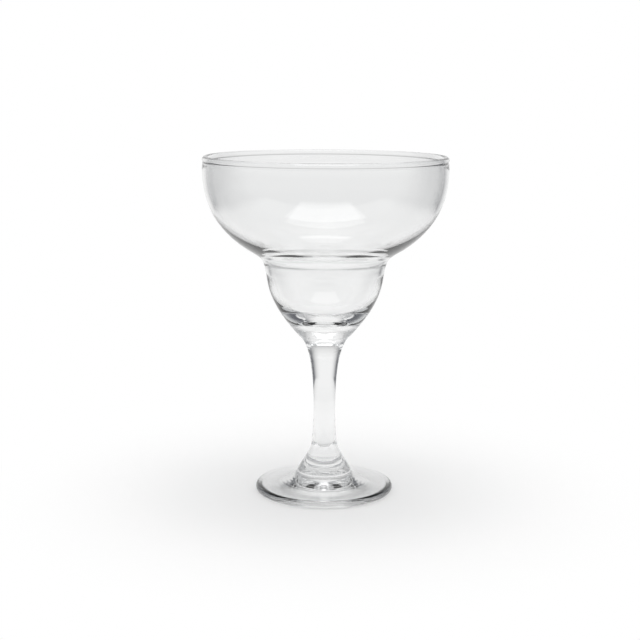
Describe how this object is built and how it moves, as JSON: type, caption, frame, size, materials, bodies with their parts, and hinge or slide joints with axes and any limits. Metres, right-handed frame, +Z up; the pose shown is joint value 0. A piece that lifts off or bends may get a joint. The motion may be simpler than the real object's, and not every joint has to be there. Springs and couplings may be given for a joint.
{
  "type": "margarita glass",
  "caption": "Clear stemmed cocktail glass with a wide bowl that steps in to a small round cup, on a solid waisted stem and a round spread foot.",
  "frame": {"origin": "on the table, in the middle of the foot's resting ring", "axes": "+Z up along the axis of the stem and bowl; the glass is a solid of revolution, so +X and +Y are any two level directions"},
  "size_m": [0.1174, 0.1174, 0.164],
  "materials": {
    "bowl_glass": "clear, fire-polished",
    "stem_glass": "clear, pressed and fire-polished",
    "foot_glass": "clear, pressed and spun, with faint rings"
  },
  "bodies": {
    "root": {"bowl": "bowl_glass", "stem": "stem_glass", "foot": "foot_glass"}
  },
  "joints": []
}
